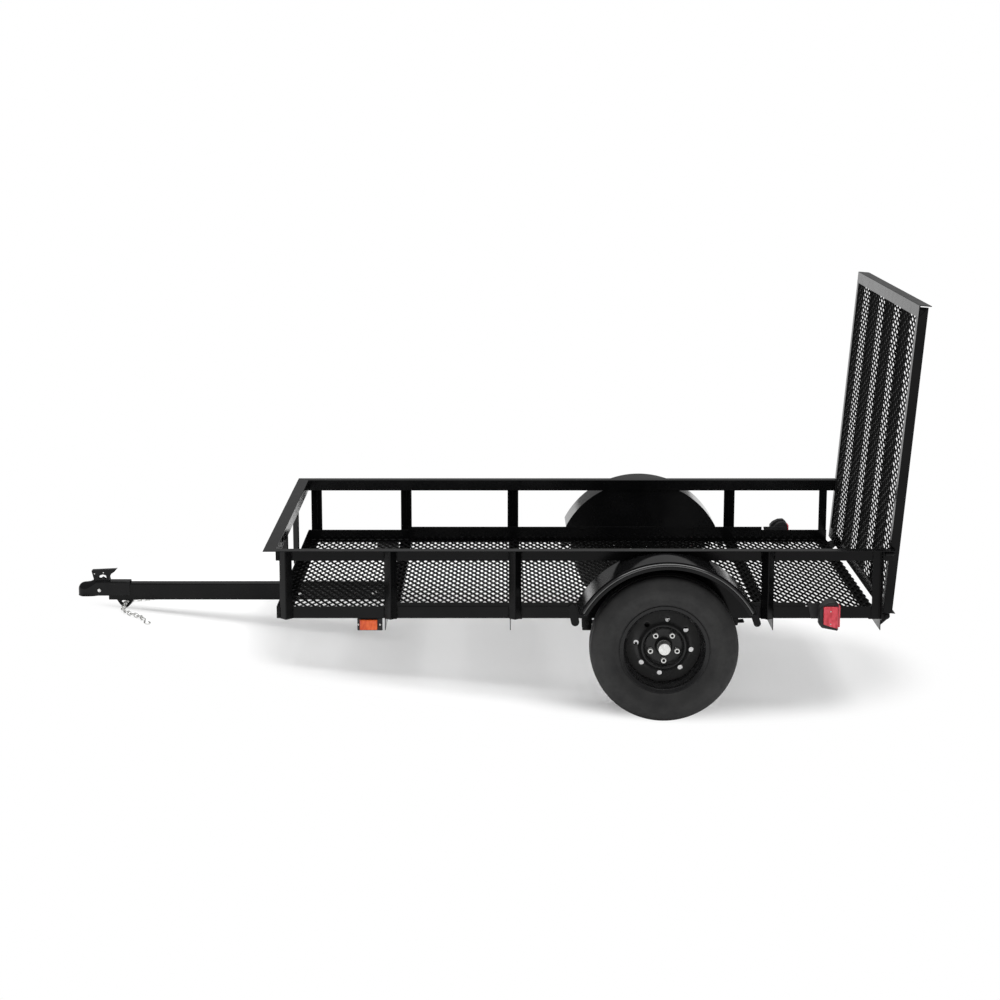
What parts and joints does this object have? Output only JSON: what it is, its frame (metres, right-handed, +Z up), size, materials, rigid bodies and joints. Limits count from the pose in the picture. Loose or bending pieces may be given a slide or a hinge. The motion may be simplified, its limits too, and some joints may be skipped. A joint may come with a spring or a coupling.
{
  "type": "utility trailer",
  "caption": "Single-axle utility trailer: angle-iron rails and posts, mesh floor, round fenders, tall mesh ramp gate hinged at the rear, ball coupler on a straight tongue.",
  "frame": {"origin": "on the floor under the middle of the parked trailer's box, with its tongue down on the chain loop", "axes": "+X to the rear, level with the floor; +Y to the trailer's right; +Z up"},
  "size_m": [3.4908, 2, 1.774],
  "materials": {
    "frame_paint": "gloss black paint",
    "mesh_paint": "black paint on expanded steel",
    "fender_paint": "gloss black paint",
    "spring_paint": "satin black paint",
    "rim_paint": "satin black paint",
    "coupler_paint": "gloss black paint",
    "tyre_rubber": "black rubber",
    "zinc": "bright zinc plate",
    "lamp_black": "moulded black plastic",
    "lens_red": "clear red moulded lens",
    "lens_amber": "clear amber moulded lens"
  },
  "bodies": {
    "chassis": {"axle": "spring_paint", "axle_clamps": "spring_paint", "bottom_rail_left": "frame_paint", "bottom_rail_right": "frame_paint", "chain_loop": "zinc", "coupler": "coupler_paint", "coupler_latch": "coupler_paint", "cross_members": "frame_paint", "fender_left": "fender_paint", "fender_right": "fender_paint", "floor_mesh": "mesh_paint", "front_sill": "frame_paint", "gate_latches": "zinc", "hinge_lugs": "frame_paint", "inner_strips": "frame_paint", "marker_lamps": "lamp_black", "marker_lenses": "lens_amber", "posts_front": "frame_paint", "posts_left": "frame_paint", "posts_right": "frame_paint", "rear_sill": "frame_paint", "safety_chains": "zinc", "spring_hangers": "spring_paint", "spring_left": "spring_paint", "spring_right": "spring_paint", "tail_lamps": "lamp_black", "tail_lenses": "lens_red", "tongue_brackets": "frame_paint", "tongue_tube": "frame_paint", "top_rail_front": "frame_paint", "top_rail_left": "frame_paint", "top_rail_right": "frame_paint"},
    "wheel_right": {"hub_right": "zinc", "rim_right": "rim_paint", "tyre_right": "tyre_rubber"},
    "wheel_left": {"hub_left": "zinc", "rim_left": "rim_paint", "tyre_left": "tyre_rubber"},
    "gate": {"gate_bars": "frame_paint", "gate_bottom": "frame_paint", "gate_knuckles": "frame_paint", "gate_mesh": "mesh_paint", "gate_stile_left": "frame_paint", "gate_stile_right": "frame_paint", "gate_top": "frame_paint"}
  },
  "joints": [
    {"name": "wheel_right_spin", "type": "hinge", "parent": "chassis", "child": "wheel_right", "pos_m": [0.79569, 0.908, 0.303], "axis": [0, 1, 0], "continuous": true},
    {"name": "wheel_left_spin", "type": "hinge", "parent": "chassis", "child": "wheel_left", "pos_m": [0.79569, -0.908, 0.303], "axis": [0, 1, 0], "continuous": true},
    {"name": "gate_hinge", "type": "hinge", "parent": "chassis", "child": "gate", "pos_m": [1.71801, 0, 0.47872], "axis": [0, 1, 0], "range_deg": [0, 111]}
  ]
}
